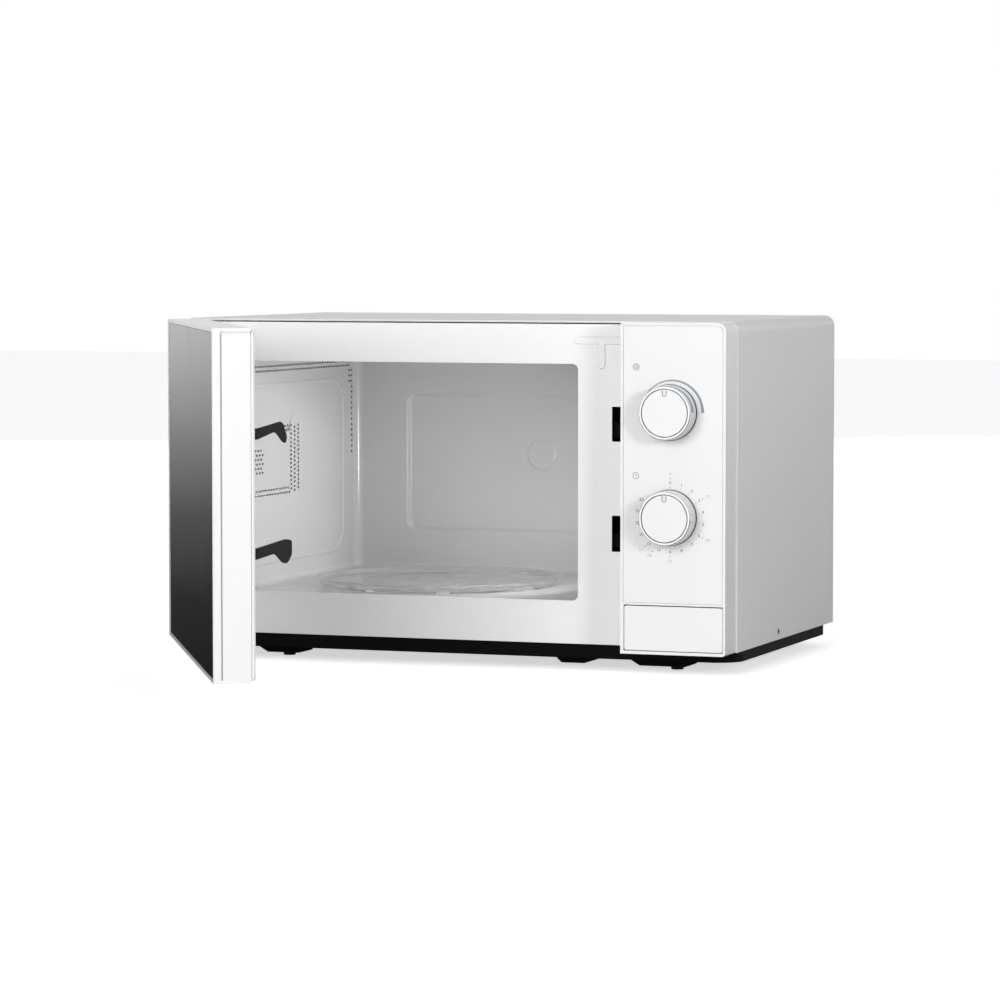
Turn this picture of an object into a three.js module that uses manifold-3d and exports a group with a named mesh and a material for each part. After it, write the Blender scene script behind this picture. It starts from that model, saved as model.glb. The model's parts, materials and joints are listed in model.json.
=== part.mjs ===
// Free-standing countertop microwave oven with mechanical dials, standing with its door partly open.
// Millimetres, +Z up. Modelled in cabinet coordinates: X to the right seen from the front and zero on the
// cabinet's centre line, Y towards the back and zero at the cover's front edge, Z zero on the table.
// At the end the whole oven is moved so that its bounding box stands centred on the origin.
import * as THREE from 'three';
import { mergeVertices } from 'three/addons/utils/BufferGeometryUtils.js';
import Module from 'manifold-3d';

const wasm = await Module();
wasm.setup();

// ---------------------------------------------------------------- driving dimensions
const GAP = 0.3;                                       // between neighbouring pieces
const SHEET = 1.2;                                     // painted sheet steel
const HALF_WIDTH = 220;
const HEIGHT = 258.2;
const COVER_DEPTH = 263;
const COVER_BOTTOM = 17;
const COVER_CORNER = 8;

const FACE_Y = 4;                                      // front face of the cavity front plate
const FACE_BOTTOM = 19.2;
const FACE_TOP = 255.4;
const CAVITY = { x0: -179, x1: 99, y0: 5.5, y1: 247, z0: 50.8, z1: 228, corner: 11, sheet: 1 };
const MOUTH = { x0: -176, x1: 96.1, z0: 51, z1: 226, corner: 4.5 };

const PANEL = { x0: 139.3, x1: 219, y0: -26.7, z0: 16.5, z1: 257.5, corner: 6.5, wall: 2.2 };
const PANEL_BACK = -0.3;
const DIAL_X = 177.2;
const POWER_DIAL_Z = 192.6;
const TIMER_DIAL_Z = 116.4;
const DIAL_BORE = 6.2;
const BUTTON = { x0: 142.4, x1: 216.8, z0: 19.3, z1: 51.6, pivotY: -21.5, pivotZ: 21 };

const DOOR = { x0: -220, x1: 137.8, y0: -26.7, y1: 2.4, z0: 16.5, z1: 257.5 };
const HINGE = { x: -209, y: -9.2, openDegrees: 60.5, pin: 2.5 };
const DOOR_SLAB_BACK = -20.4;                          // back of the door's front slab
const DOOR_BODY_BACK = -0.4;
const DOOR_RIM = 2.4;                                  // rim round the sunk field in the door's free edge

const LATCH = { x0: 127, x1: 131, slotX0: 122.4, slotX1: 134 };
const UPPER_SLOT = { z0: 169.2, z1: 194.9 };
const LOWER_SLOT = { z0: 88.1, z1: 114.7 };
const LEVER = { y: 9.5, z: 84, pin: 2 };

const PAN_BOTTOM = 8.5;
const BOSS_BOTTOM = 3;
const FEET = [
  ['foot_front_left', -147.5, 33.5],
  ['foot_front_right', 164, 33.5],
  ['foot_rear_left', -176, 225],
  ['foot_rear_right', 176, 225],
];

const TRAY = { x: -53, y: 110, radius: 97, bottom: 52 };
const WELL = { radius: 86, floor: 40.4 };
const ROLLER = { track: 73, radius: 5.3, width: 6 };

const FAN = { x: 163, z: 163, radius: 44 };
const MAGNETRON = { x0: 130, x1: 176, y0: 96, y1: 180, z0: 106, z1: 186 };

// ---------------------------------------------------------------- shape helpers
// A closed geometry as a solid: merged corners, no zero-size triangles, faces pointing out.
function solid(geometry) {
  const bare = geometry.clone();
  for (const name of ['normal', 'uv']) bare.deleteAttribute(name);
  const merged = mergeVertices(bare, 1e-4);
  const place = merged.attributes.position;
  const corner = (i) => new THREE.Vector3().fromBufferAttribute(place, i);
  const triangles = [];
  let volume = 0;
  for (let i = 0; i < merged.index.count; i += 3) {
    const [a, b, c] = [0, 1, 2].map((k) => merged.index.getX(i + k));
    if (a === b || b === c || c === a) continue;
    triangles.push([a, b, c]);
    volume += corner(a).dot(corner(b).cross(corner(c)));
  }
  if (volume < 0) triangles.forEach((t) => t.reverse());
  return new wasm.Manifold(new wasm.Mesh({
    numProp: 3,
    vertProperties: new Float32Array(place.array),
    triVerts: new Uint32Array(triangles.flat()),
  }));
}

function cut(body, ...tools) {
  return tools.reduce((rest, tool) => rest.subtract(tool), body);
}

function join(first, ...others) {
  return others.reduce((whole, piece) => whole.add(piece), first);
}

function block(x0, x1, y0, y1, z0, z1) {
  const box = new THREE.BoxGeometry(x1 - x0, y1 - y0, z1 - z0);
  return solid(box.translate((x0 + x1) / 2, (y0 + y1) / 2, (z0 + z1) / 2));
}

// How a flat outline lies in space: its two directions, then the direction it is extruded in.
const LIE = {
  x: new THREE.Matrix4().makeBasis(
    new THREE.Vector3(0, 1, 0), new THREE.Vector3(0, 0, 1), new THREE.Vector3(1, 0, 0)),
  y: new THREE.Matrix4().makeBasis(
    new THREE.Vector3(1, 0, 0), new THREE.Vector3(0, 0, 1), new THREE.Vector3(0, -1, 0)),
  z: new THREE.Matrix4(),
};

// An outline extruded along an axis between two places on it: (Y, Z) for x, (X, Z) for y, (X, Y) for z.
function prism(shape, axis, from, to, curveSegments = 5) {
  const depth = to - from;
  const geometry = new THREE.ExtrudeGeometry(shape, { depth, bevelEnabled: false, curveSegments });
  geometry.applyMatrix4(LIE[axis]);
  const start = { x: [from, 0, 0], y: [0, to, 0], z: [0, 0, from] }[axis];
  return solid(geometry.translate(...start));
}

// An (X, Z) outline extruded along Y, both ends narrowed by a slope of the height and width given.
function chamfered(shape, from, to, height, width, curveSegments = 5) {
  const geometry = new THREE.ExtrudeGeometry(shape, {
    depth: to - from - 2 * height,
    bevelThickness: height,
    bevelSize: width,
    bevelOffset: -width,
    bevelSegments: 1,
    curveSegments,
  });
  geometry.applyMatrix4(LIE.y);
  return solid(geometry.translate(0, to - height, 0));
}

function polygon(...points) {
  return new THREE.Shape(points.map(([a, b]) => new THREE.Vector2(a, b)));
}

function rounded(a0, a1, b0, b1, radius) {
  const corners = [[a1 - radius, b0 + radius], [a1 - radius, b1 - radius],
    [a0 + radius, b1 - radius], [a0 + radius, b0 + radius]];
  const shape = new THREE.Shape();
  corners.forEach(([a, b], i) => {
    shape.absarc(a, b, radius, (i - 1) * Math.PI / 2, i * Math.PI / 2, false);
  });
  return shape.closePath();
}

function circle(a, b, radius) {
  return new THREE.Shape().absarc(a, b, radius, 0, 2 * Math.PI, false);
}

// A disc or rod about an axis, between two places on it; a and b are its centre across the axis.
function rod(axis, from, to, a, b, radius, sides = 20) {
  return prism(circle(a, b, radius), axis, from, to, sides / 2);
}

// A profile of [radius, height] points turned about an axis through the place given.
function turned(axis, x, y, z, profile, sides = 24) {
  const points = profile.map(([r, h]) => new THREE.Vector2(r, h));
  const geometry = new THREE.LatheGeometry(points, sides);
  if (axis === 'z') geometry.rotateX(Math.PI / 2);
  if (axis === 'x') geometry.rotateZ(-Math.PI / 2);
  return solid(geometry.translate(x, y, z));
}

function mirrored(body) {
  return body.mirror([1, 0, 0]);
}

// A coil spring along Z.
function spring(x, y, z0, z1, radius, wire, turns) {
  const route = [];
  const steps = turns * 6;
  for (let i = 0; i <= steps; i += 1) {
    const angle = (i / steps) * turns * 2 * Math.PI;
    const height = z0 + wire + (i / steps) * (z1 - z0 - 2 * wire);
    route.push(new THREE.Vector3(x + radius * Math.cos(angle), y + radius * Math.sin(angle), height));
  }
  const extrudePath = new THREE.CatmullRomCurve3(route);
  const section = new THREE.Shape().absarc(0, 0, wire / 2, 0, 2 * Math.PI, false);
  return solid(new THREE.ExtrudeGeometry(section, { steps, extrudePath, curveSegments: 2 }));
}

// ---------------------------------------------------------------- materials
function material(color, roughness, metalness, extra = {}) {
  return new THREE.MeshStandardMaterial({ color, roughness, metalness, ...extra });
}

const white = material(0xf1f1ef, 0.4, 0.0);
const whitePaint = material(0xe9e9e7, 0.45, 0.1);
const cavityPaint = material(0xc9c9c7, 0.55, 0.1);
const black = material(0x161616, 0.6, 0.0);
const darkGlass = material(0x101012, 0.08, 0.0);
const clearGlass = material(0xd6dcdc, 0.05, 0.0, { transparent: true, opacity: 0.4 });
const darkPlastic = material(0x3f4042, 0.5, 0.0);
const chrome = material(0xc8c9cc, 0.15, 1.0);
const steel = material(0xa9abad, 0.4, 0.9);
const aluminium = material(0xc0c3c6, 0.4, 0.9);
const copper = material(0xa85a32, 0.4, 0.9);
const naturalPlastic = material(0xe4e0d2, 0.5, 0.0);
const boardGreen = material(0x2e5a38, 0.6, 0.0);
const mica = material(0xb7a98c, 0.7, 0.0);
const rubber = material(0x1d1d1d, 0.9, 0.0);

// ---------------------------------------------------------------- housing
function outerCover() {
  const rim = SHEET;
  const top = HEIGHT;
  const w = HALF_WIDTH;
  const r = COVER_CORNER;
  const arch = new THREE.Shape();
  arch.moveTo(w, COVER_BOTTOM);
  arch.lineTo(w, top - r);
  arch.absarc(w - r, top - r, r, 0, Math.PI / 2, false);
  arch.absarc(-w + r, top - r, r, Math.PI / 2, Math.PI, false);
  arch.lineTo(-w, COVER_BOTTOM);
  arch.lineTo(-w + rim, COVER_BOTTOM);
  arch.absarc(-w + r, top - r, r - rim, Math.PI, Math.PI / 2, true);
  arch.absarc(w - r, top - r, r - rim, Math.PI / 2, 0, true);
  arch.lineTo(w - rim, COVER_BOTTOM);
  arch.closePath();
  const lipWidth = 9;
  const lip = cut(
    prism(rounded(-w + 0.1, w - 0.1, COVER_BOTTOM, top - 0.1, r - 0.1), 'y', COVER_DEPTH - rim, COVER_DEPTH),
    block(-w + lipWidth, w - lipWidth, COVER_DEPTH - 5, COVER_DEPTH + 5, COVER_BOTTOM - 5, top - lipWidth),
  );
  const holes = [-1, 1].flatMap((side) => [
    rod('x', side * w - 3, side * w + 3, SIDE_SCREW.y, SIDE_SCREW.z, 2.6, 12),
    rod('y', COVER_DEPTH - 4, COVER_DEPTH + 4, side * REAR_SCREW.x, REAR_SCREW.z, 1.9, 12),
  ]);
  return cut(join(prism(arch, 'y', 0, COVER_DEPTH), lip), ...holes);
}

const SIDE_SCREW = { y: 109, z: 23.1 };
const REAR_SCREW = { x: 214.6, z: 236 };

function sideScrew() {
  const seat = HALF_WIDTH - 2.2;
  return turned('x', 0, SIDE_SCREW.y, SIDE_SCREW.z, [
    [0, seat - 7], [1.5, seat - 7], [1.5, seat], [2.3, seat], [2.3, seat + 1.6], [1.7, seat + 2], [0, seat + 2],
  ], 12);
}

function rearScrew() {
  const seat = COVER_DEPTH + 0.2;
  return turned('y', REAR_SCREW.x, 0, REAR_SCREW.z, [
    [0, seat - 8], [1.5, seat - 8], [1.5, seat], [3.4, seat], [3.4, seat + 1.2], [2.4, seat + 2], [0, seat + 2],
  ], 12);
}

function rearPanel() {
  const front = COVER_DEPTH - SHEET - GAP - SHEET;
  const back = front + SHEET;
  const edge = HALF_WIDTH - SHEET - 0.5;
  let plate = prism(rounded(-edge, edge, 19.6, HEIGHT - SHEET - 0.5, 6), 'y', front, back);
  const slotRows = 7;
  for (let row = 0; row < slotRows; row += 1) {
    const z = FAN.z - 38 + row * 12;
    for (const x of [FAN.x - 44, FAN.x + 4]) {
      plate = cut(plate, block(x, x + 36, front - 1, back + 1, z, z + 4));
    }
  }
  for (let column = 0; column < 5; column += 1) {
    const x = -180 + column * 16;
    plate = cut(plate, block(x, x + 6, front - 1, back + 1, 200, 226));
  }
  const bores = [
    rod('y', front - 1, back + 1, CORD_BUSHING.x, CORD_BUSHING.z, 8.4),
    ...[-1, 1].map((side) => rod('y', front - 1, back + 1, side * REAR_SCREW.x, REAR_SCREW.z, 1.9, 12)),
  ];
  return cut(plate, ...bores);
}

const CORD_BUSHING = { x: 196, z: 44 };

// The bush that the mains lead would come through.
function cordBushing() {
  const face = COVER_DEPTH;
  return turned('y', CORD_BUSHING.x, 0, CORD_BUSHING.z, [
    [4.2, face - 7], [10, face - 7], [10, face - 3.1], [8, face - 3.1], [8, face - 1.0],
    [10, face - 1.0], [9, face + 4], [5.6, face + 5], [4.2, face + 5], [4.2, face - 7],
  ], 20);
}

function footBoss(x0, x1, y0, y1, slopeLeft, slopeRight) {
  const top = PAN_BOTTOM + 0.4;
  const outline = polygon([x0 - slopeLeft, top], [x0, BOSS_BOTTOM], [x1, BOSS_BOTTOM], [x1 + slopeRight, top]);
  return prism(outline, 'y', y0, y1);
}

function basePlate() {
  const edge = HALF_WIDTH - 2.5;
  const front = 6;
  const back = COVER_DEPTH - 3.2;
  const corner = 20;
  const tray = cut(
    prism(rounded(-edge, edge, front, back, corner), 'z', PAN_BOTTOM, FACE_BOTTOM - 0.5, 6),
    prism(rounded(-edge + 1.8, edge - 1.8, front + 1.8, back - 1.8, corner - 1.8), 'z', PAN_BOTTOM + 1.6, 30, 6),
  );
  const bosses = [
    footBoss(-160, -134.5, 20, 47, 10, 4),
    footBoss(77, 95, 22, 46, 6, 18),
    footBoss(139, 174, 20, 47, 10, 8),
    footBoss(-195, -163, 198, 250, 7, 7),
    footBoss(163, 195, 198, 250, 7, 7),
  ];
  const tabs = [-1, 1].map((side) => cut(
    block(...[side * (edge - 1.8), side * edge].sort((a, b) => a - b), SIDE_SCREW.y - 11, SIDE_SCREW.y + 11, 17, 31),
    rod('x', side * edge - 4, side * edge + 4, SIDE_SCREW.y, SIDE_SCREW.z, 1.9, 12),
  ));
  const stemHoles = FEET.map(([, x, y]) => rod('z', 0, 7.6, x, y, 2.6, 12));
  const airSlots = [];
  for (let row = 0; row < 6; row += 1) {
    airSlots.push(block(20, 90, 180 + row * 11, 185 + row * 11, 0, 12));
  }
  return cut(join(tray, ...bosses, ...tabs), ...stemHoles, ...airSlots);
}

function foot(x, y) {
  return turned('z', x, y, 0, [
    [0, 0], [4.3, 0], [4.7, 0.5], [4.7, 2.7], [2.2, 2.7], [2.2, 7.2], [0, 7.2],
  ], 20);
}

// ---------------------------------------------------------------- oven cavity
const BEAD = { height: 1.3, slope: 0.8 };

// A length of pressed bead: flat on top, with sloping sides.
function bead(outline) {
  return chamfered(outline, FACE_Y - BEAD.height, FACE_Y + 3, BEAD.height, BEAD.slope);
}

// The white plate round the oven's mouth, with its latch slots and a T-shaped bead pressed into it.
function cavityFrontPlate() {
  const back = FACE_Y + SHEET;
  const edge = HALF_WIDTH - SHEET - 0.5;
  const plate = prism(rounded(-edge, edge, FACE_BOTTOM, FACE_TOP, 6), 'y', FACE_Y, back);
  const mouth = rounded(MOUTH.x0, MOUTH.x1, MOUTH.z0, MOUTH.z1, MOUTH.corner);
  const tee = cut(
    join(bead(rounded(93, 141.5, 240.3, 246.4, 3)), bead(rounded(111.6, 117.7, 222.4, 246.4, 3))),
    block(90, 150, FACE_Y + 0.6, FACE_Y + 10, 220, 250),
  );
  const { slotX0, slotX1 } = LATCH;
  return cut(
    join(plate, tee),
    prism(mouth, 'y', FACE_Y - 1, back + 1),
    block(slotX0, slotX1, FACE_Y - 2, back + 1, UPPER_SLOT.z0, UPPER_SLOT.z1),
    block(slotX0, slotX1, FACE_Y - 2, back + 1, LOWER_SLOT.z0, LOWER_SLOT.z1),
    block(142, 214, FACE_Y - 2, back + 1, 24, 244),
    block(-edge - 1, -201, FACE_Y - 2, back + 1, HINGE_TONGUE.upper - 1.4, HINGE_TONGUE.upper + 1.4),
    block(-edge - 1, -201, FACE_Y - 2, back + 1, HINGE_TONGUE.lower - 1.4, HINGE_TONGUE.lower + 1.4),
  );
}

// The cavity seen from above: open at the front, round at the two back corners.
function cavityPlan(grow, front) {
  const { x0, x1, y1, corner } = CAVITY;
  const plan = new THREE.Shape();
  const r = corner + grow;
  plan.moveTo(x0 - grow, front);
  plan.lineTo(x1 + grow, front);
  plan.absarc(x1 + grow - r, y1 + grow - r, r, 0, Math.PI / 2, false);
  plan.absarc(x0 - grow + r, y1 + grow - r, r, Math.PI / 2, Math.PI, false);
  return plan.closePath();
}

// Side walls, back and ceiling, with the port for the waveguide in the right wall.
function ovenCavity() {
  const { x1, y0, z0, z1, sheet } = CAVITY;
  return cut(
    prism(cavityPlan(sheet, y0), 'z', z0 - sheet, z1 + sheet, 3),
    prism(cavityPlan(0, y0 - 5), 'z', z0 - 5, z1, 3),
    block(x1 - 1, x1 + 2, 104, 168, 122, 158),
  );
}

// Floor sheet, with the round well that the roller ring runs in.
function cavityFloor() {
  const { y0, z0, sheet } = CAVITY;
  return cut(
    join(
      prism(cavityPlan(-GAP, y0), 'z', z0 - sheet, z0, 3),
      rod('z', WELL.floor - sheet, z0, TRAY.x, TRAY.y, WELL.radius + sheet, 40),
    ),
    rod('z', WELL.floor, z0 + 1, TRAY.x, TRAY.y, WELL.radius, 40),
    rod('z', 30, 60, TRAY.x, TRAY.y, 6, 16),
  );
}

function waveguideCover() {
  return prism(rounded(96, 176, 114, 166, 4), 'x', CAVITY.x1 - 1.1, CAVITY.x1 - GAP);
}

function waveguide() {
  const x0 = CAVITY.x1 + CAVITY.sheet + GAP;
  const x1 = MAGNETRON.x0 - GAP;
  return cut(
    block(x0, x1, 98, 178, 112, 172),
    block(x0 - 1, x1 - 1, 99, 177, 113, 171),
    rod('x', x1 - 5, x1 + 5, 138, 146, 14),
  );
}

function magnetronYoke() {
  const { x0, x1, y0, y1, z0, z1 } = MAGNETRON;
  return cut(
    block(x0, x1, y0, y1, z0, z1),
    block(x0 + 1.6, x1 - 1.6, y0 - 1, y1 + 1, z0 + 1.6, z1 - 1.6),
    rod('x', x0 - 3, x0 + 3, 138, 146, 12),
  );
}

// The anode with its cooling fins, and the antenna that reaches into the waveguide.
function magnetronCore() {
  const { x0, x1, y0, y1, z0, z1 } = MAGNETRON;
  const barrel = turned('x', 0, 138, 146, [
    [0, x0 - 19], [5, x0 - 19], [7.5, x0 - 16], [7.5, x0 - 4], [10.5, x0 - 4], [10.5, x0 + 3],
    [19, x0 + 3], [19, x1 - 3], [0, x1 - 3],
  ], 24);
  const fins = [];
  for (let x = x0 + 10; x < x1 - 8; x += 8) {
    fins.push(block(x, x + 1.2, y0 + 4, y1 - 4, z0 + 3, z1 - 3));
  }
  return join(barrel, ...fins);
}

// ---------------------------------------------------------------- high-voltage supply
const TRANSFORMER = { x0: 118, x1: 202, y0: 92, y1: 148, z0: 11, z1: 80, leg0: 148, leg1: 172, window: 17 };

function transformerCore() {
  const { x0, x1, y0, y1, z0, z1, leg0, leg1, window } = TRANSFORMER;
  return cut(
    block(x0, x1, y0, y1, z0, z1),
    block(leg0 - window, leg0, y0 - 1, y1 + 1, z0 + 11, z1 - 11),
    block(leg1, leg1 + window, y0 - 1, y1 + 1, z0 + 11, z1 - 11),
  );
}

function transformerCoil(z0, z1) {
  const { y0, y1, leg0, leg1, window } = TRANSFORMER;
  const out = window - 0.5;
  return cut(
    prism(rounded(leg0 - out, leg1 + out, y0 - out, y1 + out, 9), 'z', z0, z1, 3),
    block(leg0 - 0.5, leg1 + 0.5, y0 - 0.5, y1 + 0.5, z0 - 1, z1 + 1),
  );
}

function highVoltageCapacitor() {
  const can = prism(rounded(178, 210, 11, 61, 15.9), 'x', 112, 198, 4);
  const blades = [28, 44].map((z) => block(197, 206, 190, 197, z, z + 1));
  return join(can, ...blades);
}

function highVoltageDiode() {
  return join(rod('x', 110, 128, 222, 17, 3.5, 12), block(126, 140, 217, 227, 16, 17.2));
}

function noiseFilterBoard() {
  const z = 30;
  return join(
    block(122, 200, 20, 72, z, z + 1.6),
    block(128, 150, 26, 44, z + 1, z + 17),
    rod('z', z + 1, z + 19, 178, 46, 13),
    block(132, 158, 54, 66, z + 1, z + 12),
    block(124, 127, 23, 26, 11, z + 1),
    block(195, 198, 66, 69, 11, z + 1),
    block(124, 127, 66, 69, 11, z + 1),
    block(195, 198, 23, 26, 11, z + 1),
  );
}

// ---------------------------------------------------------------- cooling fan
function fanShroud() {
  const { x, z } = FAN;
  const wall = block(112, 214, 232, 234, 104, 222);
  const collar = cut(rod('y', 232, 254, x, z, 50, 32), rod('y', 231, 255, x, z, 47.5, 32));
  const bar = block(x - 49, x + 49, 229, 232.5, z - 5, z + 5);
  return cut(
    join(cut(wall, rod('y', 231, 235, x, z, 47.5, 32)), collar, bar),
    rod('y', 225, 236, x, z, 3.2, 12),
  );
}

function fanMotor() {
  const { x, z } = FAN;
  const stack = block(x - 30, x + 30, 212, 228.7, z - 25, z + 25);
  const coil = block(x - 22, x + 22, 206, 212.5, z - 24, z - 4);
  return cut(join(stack, coil), rod('y', 214, 230, x, z, 3.2, 12));
}

function fanBlade() {
  const { x, z, radius } = FAN;
  let rotor = turned('y', x, 0, z, [[0, 218], [2.2, 218], [2.2, 238], [12, 238], [12, 251], [0, 251]], 20);
  const blades = 5;
  const wing = polygon([-9, 240], [-7, 238.6], [9, 248.6], [7, 250]);
  for (let i = 0; i < blades; i += 1) {
    const blade = prism(wing, 'z', 10, radius)
      .rotate([0, (i * 360) / blades, 0])
      .translate([x, 0, z]);
    rotor = rotor.add(blade);
  }
  return rotor;
}

// ---------------------------------------------------------------- lamp
const LAMP = { y: 206, z: 196 };

function lampHolder() {
  const x = CAVITY.x1 + CAVITY.sheet + GAP;
  return cut(
    block(x, x + 30, LAMP.y - 14, LAMP.y + 14, LAMP.z - 14, LAMP.z + 14),
    block(x - 1, x + 22, LAMP.y - 12, LAMP.y + 12, LAMP.z - 12, LAMP.z + 12),
    rod('x', x + 21, x + 32, LAMP.y, LAMP.z, 7.5, 16),
  );
}

function ovenLamp() {
  const x = CAVITY.x1 + CAVITY.sheet + GAP + 2;
  return turned('x', 0, LAMP.y, LAMP.z, [
    [0, x], [6, x + 2], [9, x + 8], [8, x + 15], [6.8, x + 19], [6.8, x + 32], [0, x + 32],
  ], 20);
}

// ---------------------------------------------------------------- turntable
function turntableMotor() {
  const top = WELL.floor - CAVITY.sheet - GAP;
  return cut(
    join(rod('z', top - 15, top, TRAY.x, TRAY.y, 24, 32), block(TRAY.x - 30, TRAY.x + 30, TRAY.y - 6, TRAY.y + 6, top - 1.2, top)),
    rod('z', top - 12, top + 1, TRAY.x, TRAY.y, 4, 16),
  );
}

// Drive coupling: the motor shaft below, and three drive lobes that carry the tray.
function turntableCoupler() {
  const top = TRAY.bottom - GAP;
  let hub = turned('z', TRAY.x, TRAY.y, 0, [
    [0, WELL.floor - 11], [3, WELL.floor - 11], [3, WELL.floor - 1], [4.6, WELL.floor - 1],
    [4.6, WELL.floor + 2], [7, WELL.floor + 2], [7, top], [0, top],
  ], 20);
  for (let i = 0; i < 3; i += 1) {
    const lobe = block(4, 15, -3, 3, top - 5, top).rotate([0, 0, i * 120]).translate([TRAY.x, TRAY.y, 0]);
    hub = hub.add(lobe);
  }
  return hub;
}

function glassTurntable() {
  const z = TRAY.bottom;
  const r = TRAY.radius;
  return turned('z', TRAY.x, TRAY.y, 0, [
    [0, z], [r - 4, z], [r, z + 4.4], [r - 0.6, z + 5.6],
    [r - 2.2, z + 5.4], [r - 5.5, z + 2.9], [0, z + 2.9],
  ], 44);
}

function rollerRing() {
  const z = WELL.floor + 0.4 + ROLLER.radius;
  const { track } = ROLLER;
  let ring = turned('z', TRAY.x, TRAY.y, 0, [
    [track - 8, z - 2.5], [track - 4.5, z - 2.5], [track - 4.5, z + 2.5], [track - 8, z + 2.5], [track - 8, z - 2.5],
  ], 36);
  for (let i = 0; i < 3; i += 1) {
    const axle = rod('x', track - 6, track + ROLLER.width / 2 + 1, 0, z, 1.3, 10)
      .rotate([0, 0, i * 120])
      .translate([TRAY.x, TRAY.y, 0]);
    ring = ring.add(axle);
  }
  return ring;
}

function roller() {
  const half = ROLLER.width / 2;
  const z = WELL.floor + 0.4 + ROLLER.radius;
  return turned('x', 0, 0, z, [
    [1.6, ROLLER.track - half], [ROLLER.radius, ROLLER.track - half], [ROLLER.radius, ROLLER.track + half],
    [1.6, ROLLER.track + half], [1.6, ROLLER.track - half],
  ], 20);
}

// ---------------------------------------------------------------- control panel
function panelOutline(inset) {
  const { x0, x1, z0, z1, corner } = PANEL;
  const small = Math.max(2.5 - inset, 0.5);
  const r = corner - inset;
  const shape = new THREE.Shape();
  shape.absarc(x1 - inset - small, z0 + inset + small, small, -Math.PI / 2, 0, false);
  shape.absarc(x1 - inset - r, z1 - inset - r, r, 0, Math.PI / 2, false);
  shape.lineTo(x0 + inset, z1 - inset);
  shape.lineTo(x0 + inset, z0 + inset);
  return shape.closePath();
}

const FACE_PLATE = { x0: 141.3, x1: 216.9, z0: 53.9, z1: 255.4, depth: 1.1 };

function faceOutline(gap) {
  const { x0, x1, z0, z1 } = FACE_PLATE;
  const r = 4.5;
  const shape = new THREE.Shape();
  shape.moveTo(x0 + gap, z0 + gap);
  shape.lineTo(x1 - gap, z0 + gap);
  shape.absarc(x1 - gap - r, z1 - gap - r, r, 0, Math.PI / 2, false);
  shape.lineTo(x0 + gap, z1 - gap);
  return shape.closePath();
}

// The moulded box that carries the dials and the door button, open at the back.
function controlPanel() {
  const { y0, z0, wall } = PANEL;
  const face = y0 + wall + 1.2;
  const dialBore = (z) => rod('y', y0 - 5, 10, DIAL_X, z, DIAL_BORE);
  const springRib = block(174, 186, -11.7, -9.7, z0 + 1, BUTTON_SPRING_Z + 6);
  const shell = cut(
    prism(panelOutline(0), 'y', y0, PANEL_BACK),
    prism(panelOutline(wall), 'y', face, PANEL_BACK + 1),
  );
  return cut(
    join(shell, springRib),
    prism(faceOutline(0), 'y', y0 - 1, y0 + FACE_PLATE.depth),
    block(BUTTON.x0 - 0.6, BUTTON.x1 + 0.4, y0 - 1, face + 1, BUTTON.z0 - 0.6, BUTTON.z1 + 0.8),
    dialBore(POWER_DIAL_Z),
    dialBore(TIMER_DIAL_Z),
  );
}

function controlPanelFace() {
  const { y0 } = PANEL;
  const dialBore = (z) => rod('y', y0 - 5, 10, DIAL_X, z, DIAL_BORE);
  return cut(
    prism(faceOutline(GAP), 'y', y0 + 0.1, y0 + FACE_PLATE.depth - GAP),
    dialBore(POWER_DIAL_Z),
    dialBore(TIMER_DIAL_Z),
  );
}

// The door button: a hollow key that rocks about its lower edge, with an arm that reaches the release lever.
function doorReleaseButton() {
  const { x0, x1, z0, z1 } = BUTTON;
  const front = PANEL.y0 + 0.2;
  const key = cut(
    prism(rounded(x0, x1, z0, z1, 1.5), 'y', front, -15),
    block(x0 + 2, x1 - 2, front + 2.4, -10, z0 + 2, z1 - 2),
    block(x0 - 1, x1 + 1, -21, -10, z0 - 1, z0 + 2),
  );
  const arm = prism(polygon([-17, 40], [-14, 40], [6.2, 64], [6.2, 69.5], [2, 69.5]), 'x', 143.4, 146.4);
  const root = block(143.4, 146.4, -20, -14, 38, 46);
  return join(key, root, arm);
}

const BUTTON_SPRING_Z = 42;

function buttonSpring() {
  return spring(180, 0, -23.7, -12, 3.2, 0.8, 4).rotate([-90, 0, 0]).translate([0, 0, BUTTON_SPRING_Z]);
}

function timerUnit() {
  return cut(
    join(block(152, 203, -22, 22, 90, 142), block(160, 194, 22, 30, 98, 134)),
    rod('y', -23, -6, DIAL_X, TIMER_DIAL_Z, 3.6, 16),
  );
}

function powerSelector() {
  return cut(
    join(block(152, 203, -22, 8, 169, 216), block(158, 166, 8, 16, 176, 210)),
    rod('y', -23, -6, DIAL_X, POWER_DIAL_Z, 3.6, 16),
  );
}

// The bright skirt of a dial, with the spindle that turns its switch.
function dialSkirt(z) {
  const front = PANEL.y0 - 14.3;
  const base = PANEL.y0 - 0.4;
  return turned('y', DIAL_X, 0, z, [
    [0, front + 3], [17.9, front + 3], [17.9, front], [19.2, front], [19.6, front + 0.5],
    [20.2, base], [17.6, base], [17.6, front + 5.5], [5, front + 5.5], [3.1, base + 3], [3.1, -9], [0, -9],
  ], 32);
}

// The white cap in the skirt, with its pointer notch at the top.
function dialCap(z) {
  const front = PANEL.y0 - 14.6;
  const disc = turned('y', DIAL_X, 0, z, [
    [0, front], [17, front], [17.6, front + 0.5], [17.6, front + 3], [0, front + 3],
  ], 32);
  const notch = new THREE.Shape();
  notch.absarc(DIAL_X, z + 13.6, 1.5, Math.PI, 2 * Math.PI, false);
  notch.lineTo(DIAL_X + 1.5, z + 20);
  notch.lineTo(DIAL_X - 1.5, z + 20);
  notch.closePath();
  return cut(disc, prism(notch, 'y', front - 1, front + 0.8, 3));
}

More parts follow.
